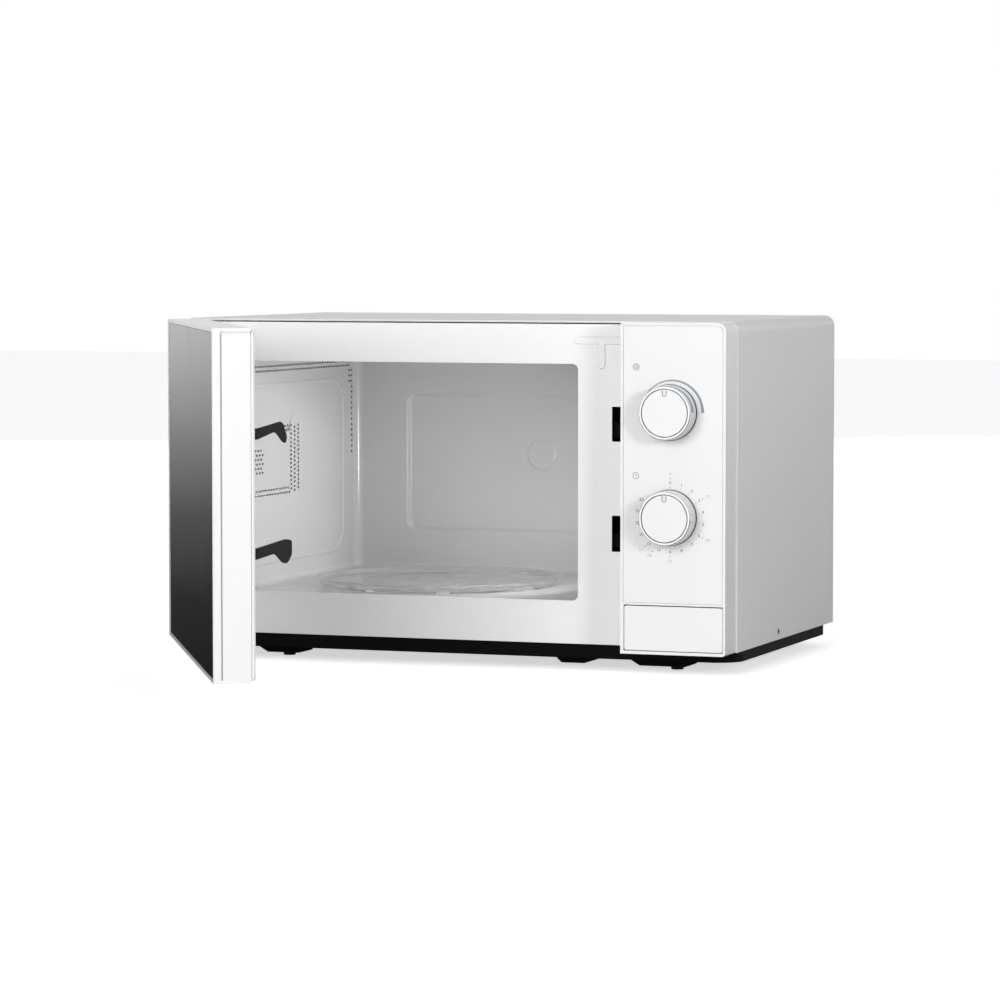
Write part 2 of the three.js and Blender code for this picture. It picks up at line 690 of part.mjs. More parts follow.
// ---------------------------------------------------------------- interlock
function interlockBracket() {
  const back = FACE_Y + SHEET + GAP;
  const wall = join(
    block(104, 121.5, back, back + 2, 78, 206),
    block(119.5, 121.5, back, 36, 78, 206),
  );
  const ledges = [
    block(121, 133.4, 9, 18.6, 172, 183),
    block(121, 133.4, 9, 17.6, 91.5, 101.1),
  ];
  const pin = rod('x', 121, 141, LEVER.y, LEVER.z, LEVER.pin, 16);
  return join(wall, ...ledges, pin);
}

// Bell crank on the bracket's pin: the button pushes its tail, and its pad lifts the lower hook.
function releaseLever() {
  const { y, z } = LEVER;
  const pad = polygon([y - 2, z - 2], [y + 3, z - 3.4], [y + 16.5, z + 3], [y + 16.5, z + 8.2],
    [y + 12, z + 8.2], [y + 11.5, z + 4.5], [y - 1, z + 3]);
  const crank = join(
    rod('x', 123, 139.4, y, z, 3.9, 16),
    prism(pad, 'x', 125, 133),
    block(135.4, 139.4, y - 1.8, y + 1.8, z - 19.5, z),
    block(135.4, 146.6, y - 2, y + 2, z - 19.5, z - 14.5),
  );
  return cut(crank, rod('x', 120, 145, y, z, LEVER.pin + 0.35, 16));
}

function microswitch(z) {
  return join(
    block(107.4, 117.4, 11, 39, z, z + 16),
    block(111, 114, 16, 20, z + 15, z + 17.5),
    block(111, 113, 38, 45, z + 2, z + 3),
  );
}

// ---------------------------------------------------------------- door, in its closed place
const HINGE_TONGUE = { upper: 251, lower: 23.2 };

function doorOutline() {
  const { x0, x1, y0 } = DOOR;
  const r = HINGE.y - DOOR_BODY_BACK;
  const shape = new THREE.Shape();
  shape.moveTo(x0, y0 + 1.5);
  shape.lineTo(x0 + 1.5, y0);
  shape.lineTo(x1 - 0.8, y0);
  shape.lineTo(x1, y0 + 0.8);
  shape.lineTo(x1, DOOR_BODY_BACK);
  shape.absarc(HINGE.x, HINGE.y, -r, Math.PI / 2, Math.PI, false);
  shape.lineTo(HINGE.x + r, DOOR_SLAB_BACK);
  shape.lineTo(x0, y0 + 3.8);
  return shape.closePath();
}

// White moulding: a rim round the glass, hollow behind, with solid ends where the hinge pins turn.
function doorFrame() {
  const { x0, x1, y0, z0, z1 } = DOOR;
  const body = prism(doorOutline(), 'z', z0, z1, 6);
  const tongueSlot = (z) => block(x0 - 2, -199, HINGE.y - 7.4, 5, z - 1.5, z + 1.5);
  const pinHole = (from, to) => rod('z', from, to, HINGE.x, HINGE.y, HINGE.pin + 0.35, 16);
  const springSeat = block(124, x1 - 3, -14, -4, 214.6, 216.4);
  const field = { x: x1 - 1.4, y: -21.3, low: z0 + DOOR_RIM, high: z1 - DOOR_RIM };
  const shade = polygon([field.x + 0.1, field.high - 2.8], [field.x - 1.1, field.high - 1.2],
    [field.x - 1.1, field.high], [field.x + 0.1, field.high]);
  const hollow = cut(
    body,
    block(GLASS.x0 - GAP, GLASS.x1 + GAP, y0 - 1, GLASS.y1 + GAP, GLASS.z0 - GAP, GLASS.z1 + GAP),
    prism(rounded(-176, 94, 52, 224, 5), 'y', -24, -19),
    block(-199, x1 - 4, DOOR_SLAB_BACK, 5, z0 + 2.8, z1 - 2.8),
    block(field.x, x1 + 1, field.y, 5, field.low, field.high),
    block(field.x - 1.3, x1, field.y, field.y + 1.2, field.low, field.high),
    prism(shade, 'y', field.y, 5),
    tongueSlot(HINGE_TONGUE.upper),
    tongueSlot(HINGE_TONGUE.lower),
    pinHole(HINGE_TONGUE.upper, z1 - 1.6),
    pinHole(z0 + 1.6, HINGE_TONGUE.lower),
  );
  return join(hollow, springSeat);
}

const GLASS = { x0: -211.5, x1: 135.2, y0: -26.4, y1: -23, z0: 19.4, z1: 254.6 };

function doorGlass() {
  const { x0, x1, y0, y1, z0, z1 } = GLASS;
  return prism(rounded(x0, x1, z0, z1, 2), 'y', y0, y1);
}

// Steel pan that closes the door's inside, its edges folded towards the glass.
function doorInnerPanel() {
  const [x0, x1, z0, z1] = [-196, 122, 24, 250];
  return cut(
    block(x0, x1, -12, -0.9, z0, z1),
    block(x0 + 1, x1 - 1, -13, -1.9, z0 + 1, z1 - 1),
  );
}

// White ring that closes the back of the door, with slots for the hooks.
function doorChokeCover() {
  const ring = cut(
    chamfered(rounded(-198.6, 136.4, 18.2, 256, 2), -3, DOOR.y1, 1.1, 1.1),
    block(-230, 230, -5, DOOR_BODY_BACK + GAP, 0, 300),
    prism(rounded(-172, 92, 55, 222, 4), 'y', -3, 5),
  );
  return cut(
    ring,
    block(LATCH.x0 - 1.2, LATCH.x1 + 1.2, -3, 5, 98.6, 114.6),
    block(LATCH.x0 - 1.2, LATCH.x1 + 1.2, -3, 5, 179.8, 195.6),
  );
}

function hingeBracket(z, towardsEnd) {
  const back = FACE_Y + SHEET + GAP;
  const tongue = new THREE.Shape();
  tongue.absarc(HINGE.x, HINGE.y, 5, 0, -Math.PI, true);
  tongue.lineTo(HINGE.x - 5, back + 1.5);
  tongue.lineTo(HINGE.x + 5, back + 1.5);
  tongue.closePath();
  const flange = [z - 26 * (towardsEnd > 0), z + 26 * (towardsEnd < 0)];
  const pin = [z, z + 4.2 * towardsEnd].sort((a, b) => a - b);
  return join(
    prism(tongue, 'z', z - 1, z + 1),
    block(-216, -197, back, back + 1.5, flange[0] - 1, flange[1] + 1),
    rod('z', pin[0], pin[1], HINGE.x, HINGE.y, HINGE.pin, 16),
  );
}

// Both hooks are one moulding on a bar that slides up and down inside the door's free edge.
function latchHookBar() {
  const { x0, x1 } = LATCH;
  const upper = polygon([-6, 181.6], [4.2, 181.6], [16, 186.8], [17.7, 185.6], [21.8, 179.7],
    [24.1, 179.4], [24.9, 183.8], [22.4, 192.5], [20.6, 194.1], [4.2, 189.2], [-6, 189.2]);
  const lower = polygon([-6, 100.1], [3.8, 100.1], [15.7, 104], [17.4, 102.3], [21.5, 97.5],
    [25, 97.5], [28, 103.3], [28, 113.3], [23.3, 113.9], [3.8, 107.7], [-6, 107.7]);
  const bar = block(x0, x1, -10.6, -5, 92, 200);
  return join(bar, prism(upper, 'x', x0, x1), prism(lower, 'x', x0, x1));
}

function latchSpring() {
  return spring(129, -8, 200.3, 214.3, 2.4, 0.8, 5);
}

// ---------------------------------------------------------------- assembly
const oven = new THREE.Group();

function add(parent, name, body, surface) {
  const { numProp, vertProperties, triVerts } = body.getMesh();
  const geometry = new THREE.BufferGeometry();
  const place = new Float32Array((vertProperties.length / numProp) * 3);
  for (let i = 0; i < place.length; i += 1) {
    place[i] = vertProperties[Math.floor(i / 3) * numProp + (i % 3)];
  }
  geometry.setAttribute('position', new THREE.BufferAttribute(place, 3));
  geometry.setIndex(new THREE.BufferAttribute(triVerts, 1));
  geometry.computeVertexNormals();
  const mesh = new THREE.Mesh(geometry, surface);
  mesh.name = name;
  parent.add(mesh);
}

add(oven, 'outer_cover', outerCover(), whitePaint);
add(oven, 'side_screw_right', sideScrew(), black);
add(oven, 'side_screw_left', mirrored(sideScrew()), black);
add(oven, 'rear_screw_right', rearScrew(), steel);
add(oven, 'rear_screw_left', mirrored(rearScrew()), steel);
add(oven, 'rear_panel', rearPanel(), steel);
add(oven, 'cord_bushing', cordBushing(), rubber);
add(oven, 'base_plate', basePlate(), black);
for (const [name, x, y] of FEET) {
  add(oven, name, foot(x, y), rubber);
}

add(oven, 'cavity_front_plate', cavityFrontPlate(), whitePaint);
add(oven, 'oven_cavity', ovenCavity(), cavityPaint);
add(oven, 'cavity_floor', cavityFloor(), cavityPaint);
add(oven, 'waveguide_cover', waveguideCover(), mica);
add(oven, 'waveguide', waveguide(), steel);
add(oven, 'magnetron_yoke', magnetronYoke(), steel);
add(oven, 'magnetron_core', magnetronCore(), aluminium);
add(oven, 'transformer_core', transformerCore(), steel);
add(oven, 'transformer_primary_coil', transformerCoil(23, 43), copper);
add(oven, 'transformer_secondary_coil', transformerCoil(46, 68), copper);
add(oven, 'high_voltage_capacitor', highVoltageCapacitor(), aluminium);
add(oven, 'high_voltage_diode', highVoltageDiode(), black);
add(oven, 'noise_filter_board', noiseFilterBoard(), boardGreen);
add(oven, 'fan_shroud', fanShroud(), naturalPlastic);
add(oven, 'fan_motor', fanMotor(), steel);
add(oven, 'fan_blade', fanBlade(), naturalPlastic);
add(oven, 'lamp_holder', lampHolder(), naturalPlastic);
add(oven, 'oven_lamp', ovenLamp(), clearGlass);

add(oven, 'turntable_motor', turntableMotor(), steel);
add(oven, 'turntable_coupler', turntableCoupler(), naturalPlastic);
add(oven, 'glass_turntable', glassTurntable(), clearGlass);
add(oven, 'roller_ring', rollerRing(), naturalPlastic);
for (let i = 0; i < 3; i += 1) {
  const wheel = roller().rotate([0, 0, i * 120]).translate([TRAY.x, TRAY.y, 0]);
  add(oven, `roller_${i + 1}`, wheel, naturalPlastic);
}

add(oven, 'control_panel', controlPanel(), white);
add(oven, 'control_panel_face', controlPanelFace(), white);
add(oven, 'door_release_button', doorReleaseButton(), white);
add(oven, 'button_spring', buttonSpring(), steel);
add(oven, 'timer_unit', timerUnit(), naturalPlastic);
add(oven, 'power_selector', powerSelector(), naturalPlastic);
add(oven, 'power_dial', dialSkirt(POWER_DIAL_Z), chrome);
add(oven, 'power_dial_cap', dialCap(POWER_DIAL_Z), white);
add(oven, 'timer_dial', dialSkirt(TIMER_DIAL_Z), chrome);
add(oven, 'timer_dial_cap', dialCap(TIMER_DIAL_Z), white);

add(oven, 'interlock_bracket', interlockBracket(), darkPlastic);
add(oven, 'release_lever', releaseLever(), darkPlastic);
add(oven, 'primary_switch', microswitch(186), black);
add(oven, 'secondary_switch', microswitch(106), black);
add(oven, 'monitor_switch', microswitch(82), black);
add(oven, 'upper_hinge_bracket', hingeBracket(HINGE_TONGUE.upper, 1), steel);
add(oven, 'lower_hinge_bracket', hingeBracket(HINGE_TONGUE.lower, -1), steel);

// The door is built closed, then swung open about its hinge.
const doorSwing = new THREE.Group();
doorSwing.position.set(HINGE.x, HINGE.y, 0);
doorSwing.rotation.z = THREE.MathUtils.degToRad(-HINGE.openDegrees);
const door = new THREE.Group();
door.position.set(-HINGE.x, -HINGE.y, 0);
doorSwing.add(door);
oven.add(doorSwing);

add(door, 'door_frame', doorFrame(), white);
add(door, 'door_glass', doorGlass(), darkGlass);
add(door, 'door_inner_panel', doorInnerPanel(), darkPlastic);
add(door, 'door_choke_cover', doorChokeCover(), white);
add(door, 'latch_hook_bar', latchHookBar(), darkPlastic);
add(door, 'latch_spring', latchSpring(), steel);

// Stand the oven on the origin: centred in X and Y, resting on Z = 0.
oven.updateMatrixWorld(true);
const bounds = new THREE.Box3().setFromObject(oven, true);
const centre = bounds.getCenter(new THREE.Vector3());
oven.position.set(-centre.x, -centre.y, -bounds.min.z);
oven.updateMatrixWorld(true);

export default oven;
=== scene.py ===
"""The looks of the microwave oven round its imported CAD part: materials, meshes, prints, light, camera."""
import json
from math import cos, pi, radians, sin

import bmesh
import bpy
from mathutils import Matrix, Vector


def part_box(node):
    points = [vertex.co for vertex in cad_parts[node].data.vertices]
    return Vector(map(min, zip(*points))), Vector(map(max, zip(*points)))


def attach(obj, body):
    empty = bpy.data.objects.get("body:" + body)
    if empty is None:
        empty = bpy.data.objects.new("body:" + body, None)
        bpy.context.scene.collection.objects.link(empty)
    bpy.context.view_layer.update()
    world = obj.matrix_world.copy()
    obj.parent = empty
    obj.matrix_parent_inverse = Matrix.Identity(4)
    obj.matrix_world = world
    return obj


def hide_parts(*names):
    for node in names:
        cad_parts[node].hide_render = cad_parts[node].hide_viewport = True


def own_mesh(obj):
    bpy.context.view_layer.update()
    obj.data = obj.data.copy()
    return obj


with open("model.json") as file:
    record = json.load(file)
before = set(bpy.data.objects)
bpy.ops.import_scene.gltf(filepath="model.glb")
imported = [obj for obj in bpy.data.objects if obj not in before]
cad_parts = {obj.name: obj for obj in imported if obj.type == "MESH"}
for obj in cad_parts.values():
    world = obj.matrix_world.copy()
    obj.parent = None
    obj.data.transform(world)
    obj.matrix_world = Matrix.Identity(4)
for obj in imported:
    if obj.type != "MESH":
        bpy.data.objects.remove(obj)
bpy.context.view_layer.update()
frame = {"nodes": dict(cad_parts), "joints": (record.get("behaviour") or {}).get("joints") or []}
nodes = frame["nodes"]
joints = {j["name"]: j for j in frame["joints"]}
MM = 0.001

# ---------------------------------------------------------------- the cabinet's own coordinates, in mm
# X is right of the centre line, Y is behind the cover's front edge and Z is above the table.
COVER = dict(half=220.0, top=258.2, bottom=17.0, depth=263.0, corner=8.0, sheet=1.2)
low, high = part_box("outer_cover")
SHIFT = Vector(((low.x + high.x) / 2, low.y, low.z - COVER["bottom"] * MM))
TO_ROW = Matrix.Translation(SHIFT) @ Matrix.Scale(MM, 4)

# The door is drawn closed, then swung open about its hinge as it stands at rest.
HINGE = Vector((-209.0, -9.2, 0.0))
OPEN = -radians(joints["door_hinge"]["range_deg"][0])
DOOR_TO_ROW = TO_ROW @ Matrix.Translation(HINGE) @ Matrix.Rotation(-OPEN, 4, "Z") @ Matrix.Translation(-HINGE)


# ---------------------------------------------------------------- materials
def node_of(tree, kind, **values):
    node = tree.nodes.new(kind)
    for name, value in values.items():
        if hasattr(node, name):
            setattr(node, name, value)
        else:
            node.inputs[name].default_value = value
    return node


def surface(name, colour, roughness, metallic=0.0, grain=900.0, bump=0.05, mottle=0.04, **shader):
    """A finish with fine grain in its relief, and slow changes in its colour and gloss."""
    material = bpy.data.materials.new(name)
    material.use_nodes = True
    tree = material.node_tree
    link = tree.links.new
    bsdf = tree.nodes["Principled BSDF"]
    bsdf.inputs["Metallic"].default_value = metallic
    for socket, value in shader.items():
        bsdf.inputs[socket.replace("_", " ")].default_value = value
    place = tree.nodes.new("ShaderNodeTexCoord")
    fine = node_of(tree, "ShaderNodeTexNoise", Scale=grain, Detail=3.0)
    slow = node_of(tree, "ShaderNodeTexNoise", Scale=14.0, Detail=2.0)
    link(place.outputs["Object"], fine.inputs["Vector"])
    link(place.outputs["Object"], slow.inputs["Vector"])
    relief = node_of(tree, "ShaderNodeBump", Strength=bump, Distance=0.0002)
    link(fine.outputs["Fac"], relief.inputs["Height"])
    link(relief.outputs["Normal"], bsdf.inputs["Normal"])
    gloss = node_of(tree, "ShaderNodeMapRange")
    gloss.inputs["To Min"].default_value = max(roughness - 0.06, 0.02)
    gloss.inputs["To Max"].default_value = roughness + 0.06
    link(slow.outputs["Fac"], gloss.inputs["Value"])
    link(gloss.outputs["Result"], bsdf.inputs["Roughness"])
    tint = node_of(tree, "ShaderNodeMix", data_type="RGBA")
    tint.inputs[6].default_value = (*[c * (1 - mottle) for c in colour], 1)
    tint.inputs[7].default_value = (*[min(c * (1 + mottle), 1) for c in colour], 1)
    link(slow.outputs["Fac"], tint.inputs["Factor"])
    link(tint.outputs[2], bsdf.inputs["Base Color"])
    return material


# the window in the door, in the cabinet's coordinates with the door closed
WINDOW_X, WINDOW_Z = (-176.0, 84.0), (66.0, 214.0)


def door_glass_finish():
    """Black printed glass, a shade lighter over the perforated screen behind its window."""
    material = surface("black_door_glass", (0.012, 0.012, 0.013), 0.1, grain=60, bump=0.0, IOR=1.45)
    tree = material.node_tree
    link = tree.links.new
    bsdf = tree.nodes["Principled BSDF"]
    place = tree.nodes.new("ShaderNodeTexCoord")
    unswing = node_of(tree, "ShaderNodeMapping", vector_type="POINT")
    turn = DOOR_TO_ROW.inverted()
    unswing.inputs["Rotation"].default_value = turn.to_euler()
    unswing.inputs["Scale"].default_value = turn.to_scale()
    unswing.inputs["Location"].default_value = turn.to_translation()
    link(place.outputs["Object"], unswing.inputs["Vector"])
    axes = tree.nodes.new("ShaderNodeSeparateXYZ")
    link(unswing.outputs["Vector"], axes.inputs["Vector"])

    def maths(operation, a, b):
        node = node_of(tree, "ShaderNodeMath", operation=operation)
        for socket, value in zip(node.inputs, (a, b)):
            if isinstance(value, float):
                socket.default_value = value
            else:
                link(value, socket)
        return node.outputs[0]

    def within(axis, a, b):
        return maths("MULTIPLY", maths("GREATER_THAN", axis, a), maths("LESS_THAN", axis, b))

    across = within(axes.outputs["X"], *WINDOW_X)
    up = within(axes.outputs["Z"], *WINDOW_Z)
    window = maths("MULTIPLY", across, up)
    screen = node_of(tree, "ShaderNodeMix", data_type="RGBA")
    screen.inputs[6].default_value = (0.004, 0.004, 0.0045, 1)
    screen.inputs[7].default_value = (0.013, 0.013, 0.013, 1)
    link(window, screen.inputs["Factor"])
    link(screen.outputs[2], bsdf.inputs["Base Color"])
    return material


paint = surface("white_enamel", (0.80, 0.80, 0.80), 0.33, grain=700, bump=0.04, mottle=0.01)
# painted light: the front plate's white enamel is a brighter copy of the cover's paint, standing in for the
# light that falls on the front
plate_paint_with_painted_light = surface("plate_enamel_painted_light", (0.92, 0.92, 0.92), 0.36, grain=700, bump=0.04, mottle=0.01)
plastic = surface("white_gloss_plastic", (0.86, 0.86, 0.86), 0.2, grain=1500, bump=0.02, mottle=0.008)
cavity_enamel = surface("cavity_enamel", (0.58, 0.58, 0.58), 0.2, grain=1100, bump=0.22, mottle=0.03)
black_paint = surface("black_satin_paint", (0.003, 0.003, 0.003), 0.6, grain=1200, bump=0.2,
                      Specular_IOR_Level=0.15)
rubber = surface("foot_rubber", (0.006, 0.006, 0.006), 0.6, grain=1500, bump=0.3)
chrome = surface("bright_chrome", (0.72, 0.72, 0.75), 0.1, metallic=1.0, grain=200, bump=0.01)
dark_plastic = surface("dark_grey_plastic", (0.016, 0.0162, 0.017), 0.45, grain=1600, bump=0.2,
                       Specular_IOR_Level=0.35)
enamel_black = surface("black_enamel", (0.01, 0.01, 0.01), 0.35, grain=800, bump=0.1)
steel = surface("bare_steel", (0.45, 0.46, 0.47), 0.32, metallic=0.9, grain=500, bump=0.15)
zinc = surface("zinc_coated_steel", (0.5, 0.51, 0.52), 0.42, metallic=0.3, grain=400, bump=0.12, mottle=0.1)
aluminium = surface("aluminium", (0.6, 0.61, 0.63), 0.35, metallic=1.0, grain=900, bump=0.1)
core_iron = surface("varnished_core", (0.06, 0.06, 0.065), 0.5, metallic=0.6, grain=1300, bump=0.4)
copper = surface("enamelled_copper", (0.42, 0.12, 0.04), 0.35, metallic=0.9, grain=1500, bump=0.5)
natural = surface("natural_plastic", (0.72, 0.715, 0.69), 0.45, grain=1400, bump=0.1)
black_plastic = surface("black_plastic", (0.012, 0.012, 0.012), 0.4, grain=1500, bump=0.2)
board_green = surface("circuit_board", (0.02, 0.09, 0.035), 0.4, grain=600, bump=0.1, mottle=0.15)
mica = surface("mica_sheet", (0.5, 0.45, 0.34), 0.6, grain=250, bump=0.3, mottle=0.12)
clear_glass = surface("clear_glass", (0.93, 0.95, 0.95), 0.05, grain=300, bump=0.01,
                      Transmission_Weight=0.9, IOR=1.25, Alpha=0.6)
print_grey = surface("grey_print", (0.16, 0.17, 0.19), 0.5, grain=2000, bump=0.0)
print_pale = surface("pale_print", (0.42, 0.43, 0.44), 0.5, grain=2000, bump=0.0)
print_blue = surface("blue_grey_print", (0.26, 0.32, 0.38), 0.5, grain=2000, bump=0.0)
black_glass = door_glass_finish()

FINISH = {
    plate_paint_with_painted_light: "cavity_front_plate",
    plastic: "control_panel control_panel_face door_release_button door_frame door_choke_cover",
    black_paint: "base_plate side_screw_left side_screw_right interlock_bracket",
    rubber: "foot_front_left foot_front_right foot_rear_left foot_rear_right cord_bushing",
    black_glass: "door_glass",
    dark_plastic: "release_lever",
    enamel_black: "door_inner_panel",
    zinc: "rear_panel",
    steel: "rear_screw_left rear_screw_right waveguide magnetron_yoke fan_motor turntable_motor"
           " upper_hinge_bracket lower_hinge_bracket latch_spring button_spring",
    aluminium: "magnetron_core high_voltage_capacitor",
    core_iron: "transformer_core",
    copper: "transformer_primary_coil transformer_secondary_coil",
    natural: "fan_shroud fan_blade lamp_holder turntable_coupler roller_ring roller_1 roller_2 roller_3"
             " timer_unit power_selector",
    black_plastic: "high_voltage_diode primary_switch secondary_switch monitor_switch",
    board_green: "noise_filter_board",
    mica: "waveguide_cover",
    clear_glass: "oven_lamp",
}
EDGE = 0.35
NO_BEVEL = ("latch_spring", "button_spring", "waveguide_cover", "door_inner_panel")


def smooth_edges(obj, width, segments=2):
    """Rounded edges and soft shading, as moulded and folded parts have."""
    for face in obj.data.polygons:
        face.use_smooth = True
    if width:
        bevel = obj.modifiers.new("edges", "BEVEL")
        bevel.width = width * MM
        bevel.segments = segments
        bevel.limit_method = "ANGLE"
        bevel.angle_limit = radians(35)
        bevel.harden_normals = True
    normals = obj.modifiers.new("shading", "WEIGHTED_NORMAL")
    normals.keep_sharp = True


for material, names in FINISH.items():
    for name in names.split():
        nodes[name].data.materials.clear()
        nodes[name].data.materials.append(material)
        smooth_edges(nodes[name], 0 if name in NO_BEVEL else EDGE)


# ---------------------------------------------------------------- mesh helpers
def piece(name, bm, material, body, place=TO_ROW, replaced=(), bevel=0.0, segments=2):
    """A finished mesh, drawn in mm, put on the body it moves with."""
    bmesh.ops.remove_doubles(bm, verts=bm.verts, dist=1e-4)
    bmesh.ops.recalc_face_normals(bm, faces=bm.faces)
    mesh = bpy.data.meshes.new(name)
    bm.to_mesh(mesh)
    bm.free()
    mesh.transform(place)
    mesh.materials.append(material)
    obj = bpy.data.objects.new(name, mesh)
    bpy.context.scene.collection.objects.link(obj)
    smooth_edges(obj, bevel, segments)
    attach(obj, body)
    if replaced:
        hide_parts(*replaced)
    return obj


def loft(bm, rings, closed_rings=True, closed_loop=False, caps=False):
    """Quads between successive rings of points."""
    made = [[bm.verts.new(p) for p in ring] for ring in rings]
    pairs = list(zip(made, made[1:] + made[:1])) if closed_loop else list(zip(made, made[1:]))
    for a, b in pairs:
        count = len(a)
        for i in range(count if closed_rings else count - 1):
            j = (i + 1) % count
            bm.faces.new((a[i], a[j], b[j], b[i]))
    if caps:
        bm.faces.new(made[0])
        bm.faces.new(list(reversed(made[-1])))
    return made


def lathe(bm, profile, centre, axis="y", sides=72):
    """A profile of (radius, place along the axis) turned about an axis through centre."""
    rings = []
    for i in range(sides):
        a = 2 * pi * i / sides
        ring = []
        for r, h in profile:
            if axis == "y":
                ring.append((centre[0] + r * cos(a), h, centre[1] + r * sin(a)))
            else:
                ring.append((centre[0] + r * cos(a), centre[1] + r * sin(a), h))
        rings.append(ring)
    loft(bm, rings, closed_rings=False, closed_loop=True)


def arc(a, b, radius, start, end, steps):
    """Points on an arc about (a, b), with both its ends."""
    angles = [start + (end - start) * i / steps for i in range(steps + 1)]
    return [(a + radius * cos(angle), b + radius * sin(angle)) for angle in angles]


def rounded(a0, a1, b0, b1, r, steps=8):
    """The outline of a rectangle with round corners."""
    corners = ((a1 - r, b0 + r), (a1 - r, b1 - r), (a0 + r, b1 - r), (a0 + r, b0 + r))
    points = []
    for i, (a, b) in enumerate(corners):
        points += arc(a, b, r, (i - 1) * pi / 2, i * pi / 2, steps)
    return points


def dot(x, z, radius, steps=16):
    """The outline of a round mark or hole."""
    return arc(x, z, radius, 0, 2 * pi, steps)[:-1]


def slab(bm, outline, y0, y1):
    """An (X, Z) outline as a flat plate between two depths."""
    loft(bm, [[(x, y0, z) for x, z in outline], [(x, y1, z) for x, z in outline]], caps=True)


def evaluated_mesh(obj):
    """A new mesh with the object's modifiers, or its lettering, worked out."""
    bpy.context.view_layer.update()
    return bpy.data.meshes.new_from_object(obj.evaluated_get(bpy.context.evaluated_depsgraph_get()))


def punched(obj, punches):
    """Cuts the punches out of a piece, with the result in its mesh."""
    mesh = bpy.data.meshes.new("punches")
    punches.to_mesh(mesh)
    punches.free()
    mesh.transform(TO_ROW)
    tool = bpy.data.objects.new("punches", mesh)
    bpy.context.scene.collection.objects.link(tool)
    cut = obj.modifiers.new("punch", "BOOLEAN")
    cut.operation = "DIFFERENCE"
    cut.solver = "EXACT"
    cut.object = tool
    done = evaluated_mesh(obj)
    obj.modifiers.remove(cut)
    obj.data = done
    bpy.data.objects.remove(tool)


# ---------------------------------------------------------------- cover
# the screws' places, (Y, Z) in each side and (X, Z) in the rear flange, and the radius of their holes
SIDE_SCREW, REAR_SCREW = (109.0, 23.1), (214.6, 236.0)
SIDE_HOLE, REAR_HOLE = 2.6, 1.9


def cover_shell():
    """A folded sheet over the top and both sides, hemmed in front, flanged behind and open below."""
    half, top, bottom = COVER["half"], COVER["top"], COVER["bottom"]
    depth, corner, sheet = COVER["depth"], COVER["corner"], COVER["sheet"]
    hem, hem_depth = 1.9, 3.4
    r = hem / 2
    section = arc(r, r, r, pi, 2 * pi, 6)
    section += [(hem, hem_depth - 0.4), (hem - 0.3, hem_depth), (sheet, hem_depth), (sheet, depth - sheet)]
    section += [(9, depth - sheet), (9, depth)]
    section += [(inset, y) for inset, y in arc(sheet, depth - sheet, sheet, pi / 2, pi, 5)]

    def path(inset):
        r = max(corner - inset, 0.4)
        side = half - inset
        lid = top - inset
        points = [(side, bottom + (lid - r - bottom) * i / 4) for i in range(4)]
        points += arc(side - r, lid - r, r, 0, pi / 2, 12)
        points += [(side - r - (2 * (side - r)) * i / 6, lid) for i in range(1, 6)]
        points += arc(-side + r, lid - r, r, pi / 2, pi, 12)
        points += [(-side, bottom + (lid - r - bottom) * i / 4) for i in reversed(range(4))]
        return points

    lines = [[(x, y, z) for x, z in path(inset)] for inset, y in section]
    rings = [list(ring) for ring in zip(*lines)]
    bm = bmesh.new()
    loft(bm, rings, caps=True)
    shell = piece("cover_shell", bm, paint, "cabinet", replaced=("outer_cover",))
    holes = bmesh.new()
    for side in (-1, 1):
        rim = dot(*SIDE_SCREW, SIDE_HOLE, 24)
        loft(holes, [[(x, y, z) for y, z in rim] for x in (side * half - 3, side * half + 3)], caps=True)
        rim = dot(side * REAR_SCREW[0], REAR_SCREW[1], REAR_HOLE, 24)
        loft(holes, [[(x, y, z) for x, z in rim] for y in (depth - 4, depth + 4)], caps=True)
    bmesh.ops.recalc_face_normals(holes, faces=holes.faces)
    punched(shell, holes)
    shell.data.set_sharp_from_angle(angle=radians(35))


cover_shell()


# ---------------------------------------------------------------- dials
PANEL_Y = -26.7
DIAL_X = 177.2
POWER_Z = 192.6
TIMER_Z = 116.4


